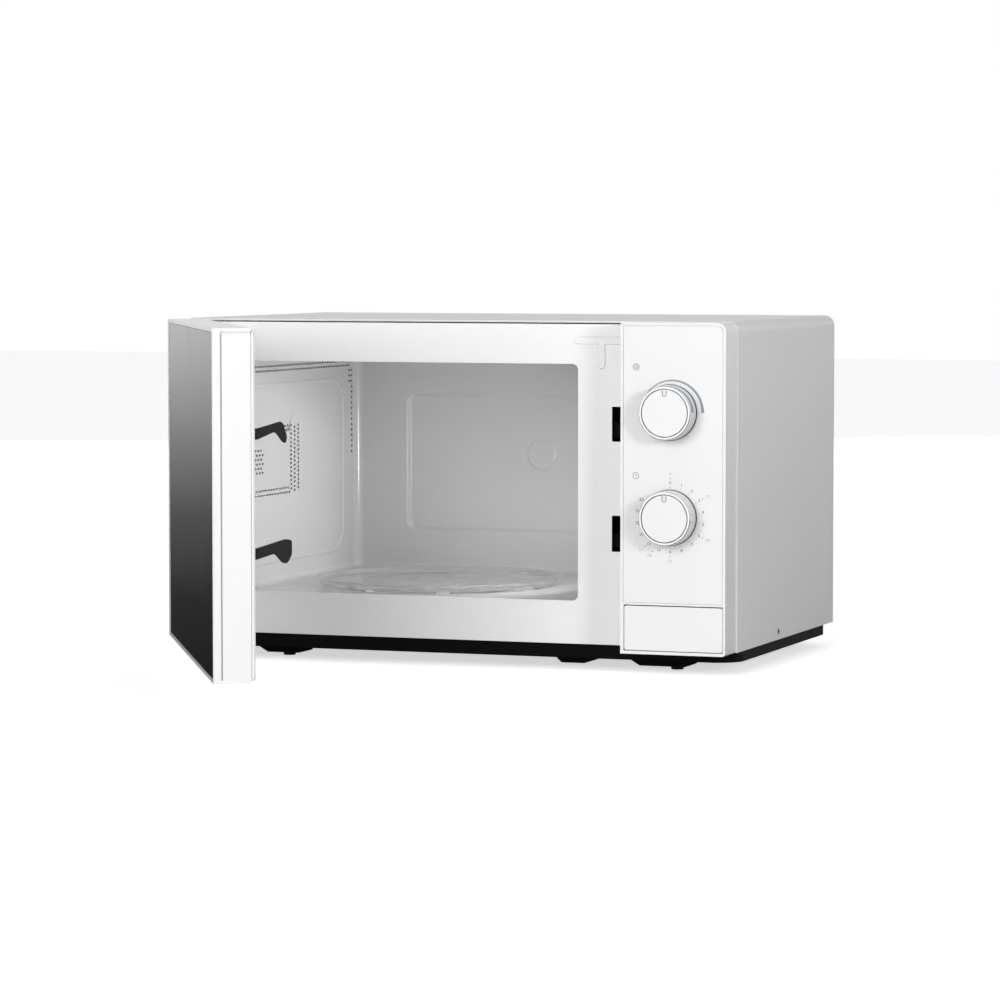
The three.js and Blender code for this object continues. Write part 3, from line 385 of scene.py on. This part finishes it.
def dial(body, z):
    """A chrome skirt with a white cap, its bezel, the ring at its foot and a painted shadow along the edge of
    its pointer notch.
    """
    front = PANEL_Y - 14.3
    base = PANEL_Y - 0.4
    skirt = [(17.9, front + 2.2), (17.9, front + 0.3), (18.2, front), (19.1, front), (19.5, front + 0.4),
             (20.15, base - 0.6), (20.2, base), (17.6, base), (17.6, front + 5.5), (5, front + 5.5),
             (3.1, base + 3), (3.1, -9), (0, -9), (0, front + 3), (17.9, front + 3)]
    bm = bmesh.new()
    lathe(bm, skirt, (DIAL_X, z), sides=96)
    piece(f"{body}_skirt", bm, chrome, body, replaced=(body,))
    # The cap is a full disc with a thinner plate on it, and the pointer notch is cut through the plate.
    face = PANEL_Y - 14.6
    bm = bmesh.new()
    rim = 17.0
    lathe(bm, [(0, face + 0.8), (rim, face + 0.8), (rim, face + 2.9), (0, face + 2.9)], (DIAL_X, z), sides=96)
    half = 1.3
    foot = z + 13.6
    reach = (rim * rim - half * half) ** 0.5
    start = pi / 2 - half / rim
    outline = arc(DIAL_X, z, rim, start - 2 * pi + 2 * half / rim, start, 96)
    outline = [(DIAL_X + half, z + reach)] + list(reversed(outline[1:-1])) + [(DIAL_X - half, z + reach)]
    outline += arc(DIAL_X, foot, half, pi, 2 * pi, 8)
    slab(bm, outline, face, face + 0.8)
    piece(f"{body}_face", bm, plastic, body, replaced=(f"{body}_cap",), bevel=0.3,
          segments=3)
    # bezel round the cap in the front plate's enamel with its painted light, a dark ring where the skirt
    # meets the panel, and a painted shadow round the notch's edge
    bm = bmesh.new()
    lathe(bm, [(17.7, front + 0.1), (17.7, front - 0.1), (17.85, front - 0.25), (18.9, front - 0.25),
               (19.05, front - 0.1), (19.05, front + 0.1), (17.7, front + 0.1)], (DIAL_X, z), sides=96)
    piece(f"{body}_bezel", bm, plate_paint_with_painted_light, body)
    bm = bmesh.new()
    lathe(bm, [(19.9, base), (19.9, base - 1.2), (20.25, base - 1.2), (20.4, base - 1.0), (20.4, base),
               (19.9, base)], (DIAL_X, z), sides=96)
    piece(f"{body}_base_ring", bm, black_plastic, body)
    # painted shadow: a grey line round the notch's edge stands for the shade in its cut
    bm = bmesh.new()
    top, edge = z + rim - 0.6, half + 0.45
    outline = [(DIAL_X - edge, top)] + arc(DIAL_X, foot, edge, pi, 2 * pi, 12)
    outline += [(DIAL_X + edge, top), (DIAL_X + half, top)]
    outline += arc(DIAL_X, foot, half, 2 * pi, pi, 12) + [(DIAL_X - half, top)]
    slab(bm, outline, face - 0.06, face + 0.06)
    piece(f"{body}_notch_painted_shadow", bm, print_grey, body)


dial("power_dial", POWER_Z)
dial("timer_dial", TIMER_Z)


# ---------------------------------------------------------------- prints on the control panel
PRINT_Y = PANEL_Y + 0.1


def print_outline(name, outlines, material):
    """Thin ink on the panel's face, a closed outline for each mark."""
    bm = bmesh.new()
    for outline in outlines:
        slab(bm, outline, PRINT_Y - 0.08, PRINT_Y - 0.01)
    piece(name, bm, material, "cabinet")


def bar(x, z, length, width, angle):
    """A short straight mark, its middle at (x, z)."""
    ux, uz = cos(angle) * length / 2, sin(angle) * length / 2
    vx, vz = -sin(angle) * width / 2, cos(angle) * width / 2
    return [(x - ux - vx, z - uz - vz), (x + ux - vx, z + uz - vz),
            (x + ux + vx, z + uz + vz), (x - ux + vx, z - uz + vz)]


def band(x, z, radius, start, end, width_start, width_end, steps=40):
    """An arc whose width changes along it; angles are clockwise from the top."""
    outer, inner = [], []
    for i in range(steps + 1):
        t = i / steps
        a = radians(90 - (start + (end - start) * t))
        half = (width_start + (width_end - width_start) * t) / 2
        outer.append((x + (radius + half) * cos(a), z + (radius + half) * sin(a)))
        inner.append((x + (radius - half) * cos(a), z + (radius - half) * sin(a)))
    return outer + list(reversed(inner))


def at_clock(z, radius, degrees):
    """A place on a circle round a dial, clockwise from the top."""
    a = radians(90 - degrees)
    return DIAL_X + radius * cos(a), z + radius * sin(a)


def number(text, x, z, height, material):
    """A printed number, its middle at (x, z)."""
    curve = bpy.data.curves.new(f"number_{text}", "FONT")
    curve.body = text
    curve.size = height * 1.42 * MM
    curve.align_x = "CENTER"
    curve.align_y = "CENTER"
    curve.extrude = 0.03 * MM
    curve.resolution_u = 3
    lettering = bpy.data.objects.new("lettering", curve)
    bpy.context.scene.collection.objects.link(lettering)
    mesh = evaluated_mesh(lettering)
    bpy.data.objects.remove(lettering)
    middle = SHIFT + Vector((x, PRINT_Y - 0.04, z)) * MM
    mesh.transform(Matrix.Translation(middle) @ Matrix.Rotation(pi / 2, 4, "X"))
    mesh.materials.clear()
    mesh.materials.append(material)
    obj = bpy.data.objects.new("print_" + text.replace(".", "_") + f"_{round(x)}_{round(z)}", mesh)
    bpy.context.scene.collection.objects.link(obj)
    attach(obj, "cabinet")


def panel_prints():
    """The power arc, two plain signs, the timer's numbers and the weights round them."""
    print_outline("power_scale_arc", [band(DIAL_X + 1.2, POWER_Z, 23.2, -62, 90, 0.5, 2.1)], print_blue)
    marks = [bar(*at_clock(POWER_Z, 22.6, a), 1.6, 0.35, radians(90 - a)) for a in (-90, -45)]
    print_outline("power_scale_ticks", marks, print_pale)
    # clock sign over the timer, and a power sign over the power dial
    cx, cz = 151.0, 146.4
    clock = [band(cx, cz, 2.2, 0, 359.9, 0.35, 0.35), bar(cx, cz + 0.7, 1.4, 0.3, pi / 2),
             bar(cx + 0.5, cz, 1.1, 0.3, 0)]
    print_outline("clock_sign", clock, print_grey)
    px, pz = 151.2, 225.2
    sign = [band(px, pz, 2.3, 0, 359.9, 0.4, 0.4), bar(px, pz + 0.8, 2.0, 0.4, pi / 2),
            band(px, pz, 1.1, 40, 320, 0.35, 0.35)]
    print_outline("power_sign", sign, print_grey)
    # single minutes, then steps of five
    scale = [(str(n), 20 * n) for n in range(10)]
    scale += [(str(n), 200 + 20 * i) for i, n in enumerate((10, 15, 20, 25, 30, 35))]
    for text, degrees in scale:
        x, z = at_clock(TIMER_Z, 25.3, degrees)
        number(text, x, z, 2.3, print_grey)
    ticks = [bar(*at_clock(TIMER_Z, 22.2, a), 1.2, 0.25, radians(90 - a)) for _, a in scale]
    print_outline("timer_ticks", ticks, print_pale)
    weights = (("0", 0), ("0.2", 60), ("0.4", 120), ("0.6", 180), ("0.8", 208), ("1.0", 222))
    for text, degrees in weights:
        x, z = at_clock(TIMER_Z, 31.6, degrees)
        number(text, x + 1.5 * sin(radians(degrees)), z, 1.9, print_pale)
    dots = [dot(*at_clock(TIMER_Z, 28.3, a), 0.4) for _, a in weights]
    print_outline("weight_dots", dots, print_grey)


panel_prints()


# ---------------------------------------------------------------- cavity
CAVITY = dict(x0=-179.0, x1=99.0, y0=5.5, y1=247.0, z0=50.8, z1=228.0, corner=7.5)
TRAY = (-53.0, 110.0)
WELL_RADIUS, WELL_FLOOR = 86.0, 40.4


def hole(bm, centre, along, across, depth):
    """A small hexagonal punch through a wall; along and across are half-size vectors in the wall."""
    ring = []
    for i in range(6):
        a = 2 * pi * i / 6
        ring.append(centre + along * cos(a) + across * sin(a))
    loft(bm, [[p - depth for p in ring], [p + depth for p in ring]], caps=True)


def cavity_walls():
    """Ceiling, floor and the wall that runs round the sides and back, with round corners where they meet."""
    x0, x1, y0, y1 = CAVITY["x0"], CAVITY["x1"], CAVITY["y0"], CAVITY["y1"]
    z0, z1, r = CAVITY["z0"], CAVITY["z1"], CAVITY["corner"]
    fillet = 5.0

    def plan(inset):
        corner = r - min(inset, r - 1)
        points = [(x1 - inset, y0 + (y1 - inset - corner - y0) * i / 10) for i in range(10)]
        points += arc(x1 - inset - corner, y1 - inset - corner, corner, 0, pi / 2, 10)
        points += [(x1 - inset - corner + (x0 - x1 + 2 * (inset + corner)) * i / 10, y1 - inset)
                   for i in range(1, 10)]
        points += arc(x0 + inset + corner, y1 - inset - corner, corner, pi / 2, pi, 10)
        points += [(x0 + inset, y0 + (y1 - inset - corner - y0) * i / 10) for i in reversed(range(10))]
        return points

    levels = [(fillet * (1 - cos(a)), z0 + fillet * (1 - sin(a)))
              for a in [pi / 2 - pi / 2 * i / 6 for i in range(7)]]
    levels += [(0.0, z0 + fillet + (z1 - z0 - 2 * fillet) * i / 6) for i in range(1, 6)]
    levels += [(fillet * (1 - cos(a)), z1 - fillet * (1 - sin(a)))
               for a in [pi / 2 * i / 6 for i in range(7)]]
    bm = bmesh.new()
    walls = loft(bm, [[(x, y, z) for x, y in plan(inset)] for inset, z in levels], closed_rings=False)
    ceiling = bm.faces.new(walls[-1])
    ceiling.normal_update()
    # floor: from the walls to the round well for the roller ring, then down into it
    steps = 64

    def circle(radius, z):
        turns = [2 * pi * i / steps for i in range(steps)]
        return [bm.verts.new((TRAY[0] + radius * cos(a), TRAY[1] + radius * sin(a), z)) for a in turns]

    well = circle(WELL_RADIUS + 1.5, z0)
    edges = [bm.edges.new((well[i], well[(i + 1) % steps])) for i in range(steps)]
    bottom = walls[0]
    edges += [bm.edges.get((bottom[i], bottom[i + 1])) for i in range(len(bottom) - 1)]
    edges.append(bm.edges.new((bottom[-1], bottom[0])))
    bmesh.ops.triangle_fill(bm, use_beauty=True, edges=edges)
    rings = [well]
    for radius, z in ((WELL_RADIUS + 0.4, z0 - 0.5), (WELL_RADIUS, z0 - 1.5), (WELL_RADIUS, WELL_FLOOR + 1.2),
                      (WELL_RADIUS - 1.2, WELL_FLOOR), (WELL_RADIUS - 9, WELL_FLOOR), (7, WELL_FLOOR),
                      (6, WELL_FLOOR - 0.9)):
        rings.append(circle(radius, z))
    for a, b in zip(rings, rings[1:]):
        for i in range(steps):
            j = (i + 1) % steps
            bm.faces.new((a[i], a[j], b[j], b[i]))
    return bm


def wall_thickness(obj, thickness):
    """The sheet's thickness, added outwards."""
    solid = obj.modifiers.new("sheet", "SOLIDIFY")
    solid.thickness = thickness * MM
    solid.offset = 1.0
    done = evaluated_mesh(obj)
    obj.modifiers.remove(solid)
    obj.data = done


def left_wall_holes(bm):
    """Air holes: two rows under the ceiling that turn down at the back, and a square round the air inlet."""
    slot, across, depth = Vector((0, 1.9, 0)), Vector((0, 0, 1.0)), Vector((3, 0, 0))
    x = CAVITY["x0"] - 0.5

    def row(z, y, pitch, count):
        for i in range(count):
            hole(bm, Vector((x, y + pitch * i, z)), slot, across, depth)

    def column(y, z, pitch, count):
        for i in range(count):
            hole(bm, Vector((x, y, z - pitch * i)), slot, across, depth)

    row(219.6, 10.0, 5.2, 44)
    row(216.0, 12.6, 5.2, 43)
    column(237.5, 212.0, 4.4, 16)
    column(232.5, 212.0, 4.4, 3)
    for k in range(3):
        column(111.5 + 7.2 * k, 172.2 - 1.65 * (k % 2), 3.3, 16)
    for z, shift in ((172.2, 0.0), (168.9, 2.8), (123.6, 0.0), (120.0, 2.8)):
        row(z, 10.0 + shift, 5.6, 18)
    for k in range(6):
        row(155.0 - 3.45 * k, 30.0 + 2.8 * (k % 2), 5.6, 5)


def embossed(bm, outline_at, levels):
    """A raised or sunk field: outlines that shrink as they rise, closed by a flat face."""
    rings = [outline_at(inset, height) for inset, height in levels]
    made = loft(bm, rings)
    bm.faces.new(made[-1])


def cavity():
    """The shell with its punched holes, the field and boss in its back wall and the bead on its left wall."""
    shell = piece("cavity_shell", cavity_walls(), cavity_enamel, "cabinet",
                  replaced=("oven_cavity", "cavity_floor"))
    wall_thickness(shell, 0.35)
    punches = bmesh.new()
    left_wall_holes(punches)
    # the waveguide's port in the right wall
    hole(punches, Vector((99.5, 136, 140)), Vector((0, 30, 0)), Vector((0, 0, 20)), Vector((3, 0, 0)))
    back, field_depth = CAVITY["y1"], 3.25

    def back_field(inset, height):
        outline = rounded(-134.5 + inset, 60 - inset, 82 + inset, 193.5 - inset, 8 - inset / 2, 6)
        return [(x, back - height, z) for x, z in outline]

    loft(punches, [back_field(0.05, 2), back_field(0.05, -2)], caps=True)
    punched(shell, punches)
    shell.data.set_sharp_from_angle(angle=radians(32))
    # field pressed into the back wall, with a round boss on it
    bm = bmesh.new()
    embossed(bm, back_field, ((0, 0.0), (0.5, -0.3), (2.6, -2.9), (3.4, -3.2), (6, -field_depth)))
    boss_x, boss_z, boss_radius = -19, 145, 13

    def boss(inset, height):
        outline = dot(boss_x, boss_z, boss_radius - inset, 40)
        return [(x, back + field_depth - height, z) for x, z in outline]

    embossed(bm, boss, ((0, 0.0), (0.5, 0.3), (1.8, 1.2), (2.6, 1.3)))
    piece("back_wall_pressing", bm, cavity_enamel, "cabinet")
    bm = bmesh.new()
    left = CAVITY["x0"]

    def side_field(inset, height):
        outline = rounded(12 + inset, 222 - inset, 66 + inset, 207 - inset, 24 - inset, 8)
        return [(left + height, y, z) for y, z in outline]

    bead = ((0, 0.0), (0.7, 0.55), (1.8, 0.75), (2.9, 0.55), (3.6, 0.0))
    loft(bm, [side_field(inset, height) for inset, height in bead])
    piece("side_wall_bead", bm, cavity_enamel, "cabinet")


cavity()


# ---------------------------------------------------------------- springs
def coil(bm, start, end, radius, wire, turns):
    """Round wire wound from start to end about the straight line between them, with flat closed end turns."""
    start, end = Vector(start), Vector(end)
    along = (end - start).normalized()
    side = Vector((1, 0, 0)) if abs(along.x) < 0.5 else Vector((0, 1, 0))
    other = along.cross(side)
    length = (end - start).length - wire
    steps, facets, closed = turns * 24, 8, 0.75
    rings = []
    for i in range(steps + 1):
        wound = turns * i / steps
        share = min(max((wound - closed) / (turns - 2 * closed), 0.0), 1.0)
        rise = wire / 2 + wire * 1.02 * min(wound, closed) + (length - 2.04 * wire * closed) * share
        rise += wire * 1.02 * max(wound - (turns - closed), 0.0)
        out = side * cos(2 * pi * wound) + other * sin(2 * pi * wound)
        centre = start + along * rise + out * radius
        rings.append([centre + (out * cos(2 * pi * k / facets) + along * sin(2 * pi * k / facets)) * wire / 2
                      for k in range(facets)])
    loft(bm, rings, caps=True)


def springs():
    """Both springs are drawn at rest."""
    bm = bmesh.new()
    coil(bm, (129, -8, 214.3), (129, -8, 200.3), 2.4, 0.8, 6)
    latch = piece("latch_spring_coil", bm, steel, "door", place=DOOR_TO_ROW,
                  replaced=("latch_spring",))
    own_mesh(latch)
    bm = bmesh.new()
    coil(bm, (180, -12, 42), (180, -23.7, 42), 3.2, 0.8, 5)
    button = piece("button_spring_coil", bm, steel, "cabinet", replaced=("button_spring",))
    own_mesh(button)


springs()


# ---------------------------------------------------------------- turntable
TRAY_RADIUS, TRAY_UNDERSIDE = 97.0, 52.0


def turntable():
    """A glass plate with a raised rim, two raised rings on it and a shallow groove below."""
    r, z = TRAY_RADIUS, TRAY_UNDERSIDE
    profile = [(0, z), (13, z), (14, z + 0.5), (16, z + 0.5), (17, z), (r - 14, z), (r - 12, z + 0.4),
               (r - 5, z + 0.4), (r - 3.2, z + 0.8), (r - 0.9, z + 3.6), (r - 0.1, z + 4.6), (r, z + 5.1),
               (r - 0.5, z + 5.6), (r - 1.6, z + 5.5), (r - 3.2, z + 4.6), (r - 5.6, z + 3.2),
               (r - 7, z + 2.9), (62, z + 2.9), (61, z + 3.3), (59, z + 3.3), (58, z + 2.9), (32, z + 2.9),
               (31, z + 3.2), (29.5, z + 3.2), (28.5, z + 2.9), (0, z + 2.9)]
    bm = bmesh.new()
    lathe(bm, profile, TRAY, axis="z", sides=128)
    piece("turntable_glass", bm, clear_glass, "turntable", replaced=("glass_turntable",))


turntable()


# ---------------------------------------------------------------- door hooks
def softened(points, radius, steps=4):
    """A closed outline with its corners rounded."""
    out = []
    count = len(points)
    for i in range(count):
        p = Vector(points[i])
        before = Vector(points[i - 1]) - p
        after = Vector(points[(i + 1) % count]) - p
        r = min(radius, before.length * 0.45, after.length * 0.45)
        a = p + before.normalized() * r
        b = p + after.normalized() * r
        for k in range(steps + 1):
            t = k / steps
            out.append(tuple(a * (1 - t) ** 2 + p * 2 * t * (1 - t) + b * t ** 2))
    return out


HOOK_LEFT, HOOK_RIGHT = 127.0, 131.0


def door_hooks():
    """Two hooks on one stem, as (Y, Z) outlines with the door closed."""
    upper = [(-6, 181.6), (4.2, 181.6), (16, 186.8), (17.7, 185.6), (21.8, 179.7), (24.1, 179.4),
             (24.9, 183.8), (22.4, 192.5), (20.6, 194.1), (4.2, 189.2), (-6, 189.2)]
    lower = [(-6, 100.1), (3.8, 100.1), (15.7, 104), (17.4, 102.3), (21.5, 97.5), (25, 97.5), (28, 103.3),
             (28, 113.3), (23.3, 113.9), (3.8, 107.7), (-6, 107.7)]
    stem = [(-10.6, 92), (-5, 92), (-5, 200), (-10.6, 200)]
    bm = bmesh.new()
    for outline, radius in ((upper, 1.6), (lower, 1.6), (stem, 1.0)):
        points = softened(outline, radius)
        loft(bm, [[(x, y, z) for y, z in points] for x in (HOOK_LEFT, HOOK_RIGHT)], caps=True)
    piece("latch_hooks_moulding", bm, dark_plastic, "latch_hooks", place=DOOR_TO_ROW,
          replaced=("latch_hook_bar",), bevel=0.35, segments=3)


door_hooks()


# ---------------------------------------------------------------- stage, light and camera
# half the table's side, in metres
FLOOR_HALF = 8.0
PAPER_LIFT = 0.62
SKY = 0.26
# how bright the air is in gloss, from well below the horizon up to it
HORIZON = ((0.28, 0.04), (0.45, 0.13), (0.6, 0.34), (0.82, 0.78))
KEY, REAR, FRONT, LAMP_POWER = 60.0, 16.0, 17.0, 0.28


def stage():
    """A plain white table, which the camera sees a little brighter than the light makes it."""
    half = FLOOR_HALF
    corners = [(-half, -half, 0), (half, -half, 0), (half, half, 0), (-half, half, 0)]
    mesh = bpy.data.meshes.new("studio_floor")
    mesh.from_pydata(corners, [], [(0, 1, 2, 3)])
    paper = surface("studio_paper", (0.93, 0.93, 0.93), 0.8, grain=300, bump=0.01, mottle=0.002)
    tree = paper.node_tree
    link = tree.links.new
    paths = tree.nodes.new("ShaderNodeLightPath")
    lift = node_of(tree, "ShaderNodeMath", operation="MULTIPLY")
    lift.inputs[1].default_value = PAPER_LIFT
    link(paths.outputs["Is Camera Ray"], lift.inputs[0])
    bsdf = tree.nodes["Principled BSDF"]
    bsdf.inputs["Emission Color"].default_value = (1, 1, 1, 1)
    link(lift.outputs[0], bsdf.inputs["Emission Strength"])
    mesh.materials.append(paper)
    floor = bpy.data.objects.new("studio_floor", mesh)
    bpy.context.scene.collection.objects.link(floor)
    floor.visible_glossy = False


def area_light(name, place, target, size, power, spread=pi, mirrored=True):
    """A soft box aimed at its target; one that isn't mirrored leaves no highlight in gloss."""
    data = bpy.data.lights.new(name, "AREA")
    data.shape = "RECTANGLE"
    data.size, data.size_y = size
    data.energy = power
    data.spread = spread
    light = bpy.data.objects.new(name, data)
    light.visible_glossy = mirrored
    light.location = place
    light.rotation_euler = (Vector(target) - Vector(place)).to_track_quat("-Z", "Y").to_euler()
    bpy.context.scene.collection.objects.link(light)


def studio_air():
    """A white sky to the camera, dimmer as light; in gloss it is white above the horizon and dark below."""
    world = bpy.data.worlds.new("studio_air")
    world.use_nodes = True
    tree = world.node_tree
    link = tree.links.new
    sky = tree.nodes["Background"]
    sky.inputs["Color"].default_value = (1, 1, 1, 1)
    sky.inputs["Strength"].default_value = SKY
    mirrored = tree.nodes.new("ShaderNodeBackground")
    place = tree.nodes.new("ShaderNodeTexCoord")
    axes = tree.nodes.new("ShaderNodeSeparateXYZ")
    link(place.outputs["Generated"], axes.inputs["Vector"])
    rise = tree.nodes.new("ShaderNodeMapRange")
    rise.inputs["From Min"].default_value = -0.12
    rise.inputs["From Max"].default_value = 0.0
    link(axes.outputs["Z"], rise.inputs["Value"])
    fade = tree.nodes.new("ShaderNodeValToRGB")
    ramp = fade.color_ramp
    ramp.elements[0].color = (0.01, 0.01, 0.01, 1)
    ramp.elements[1].color = (0.95, 0.95, 0.95, 1)
    for at, level in HORIZON:
        ramp.elements.new(at).color = (level, level, level, 1)
    link(rise.outputs["Result"], fade.inputs["Fac"])
    link(fade.outputs["Color"], mirrored.inputs["Color"])
    paths = tree.nodes.new("ShaderNodeLightPath")
    mix = tree.nodes.new("ShaderNodeMixShader")
    link(paths.outputs["Is Glossy Ray"], mix.inputs["Fac"])
    link(sky.outputs["Background"], mix.inputs[1])
    link(mirrored.outputs["Background"], mix.inputs[2])
    beyond = tree.nodes.new("ShaderNodeBackground")
    beyond.inputs["Color"].default_value = (1, 1, 1, 1)
    seen = tree.nodes.new("ShaderNodeMixShader")
    link(paths.outputs["Is Camera Ray"], seen.inputs["Fac"])
    link(mix.outputs["Shader"], seen.inputs[1])
    link(beyond.outputs["Background"], seen.inputs[2])
    link(seen.outputs["Shader"], tree.nodes["World Output"].inputs["Surface"])
    bpy.context.scene.world = world


def studio():
    stage()
    studio_air()
    middle = (0.0, 0.0, 0.13)
    area_light("key_front", (-0.5, -3.2, 1.0), middle, (2.2, 1.6), KEY, mirrored=False)
    area_light("fill_rear", (-1.4, 3.0, 1.0), middle, (2.2, 1.6), REAR, mirrored=False)
    mouth = SHIFT + Vector((-60, 100, 130)) * MM
    area_light("cavity_front", mouth + Vector((1.9, -1.5, 0.45)), mouth, (0.5, 0.4), FRONT, mirrored=False)
    lamp = SHIFT + Vector((93, 60, 130)) * MM
    inward = Vector((-0.27, 0.04, 0.02))
    area_light("cavity_lamp", lamp, lamp + inward, (0.06, 0.05), LAMP_POWER, radians(150))
    bpy.context.scene.view_settings.view_transform = "Standard"


def camera():
    data = bpy.data.cameras.new("camera")
    data.lens = 146.35
    data.sensor_width = 36.0
    data.clip_end = 50
    eye = bpy.data.objects.new("camera", data)
    eye.location = SHIFT + Vector((1069.41, -2825.99, 313.94)) * MM
    eye.rotation_euler = (radians(90 - 3.6), 0, radians(20.08))
    bpy.context.scene.collection.objects.link(eye)
    bpy.context.scene.camera = eye


studio()
camera()
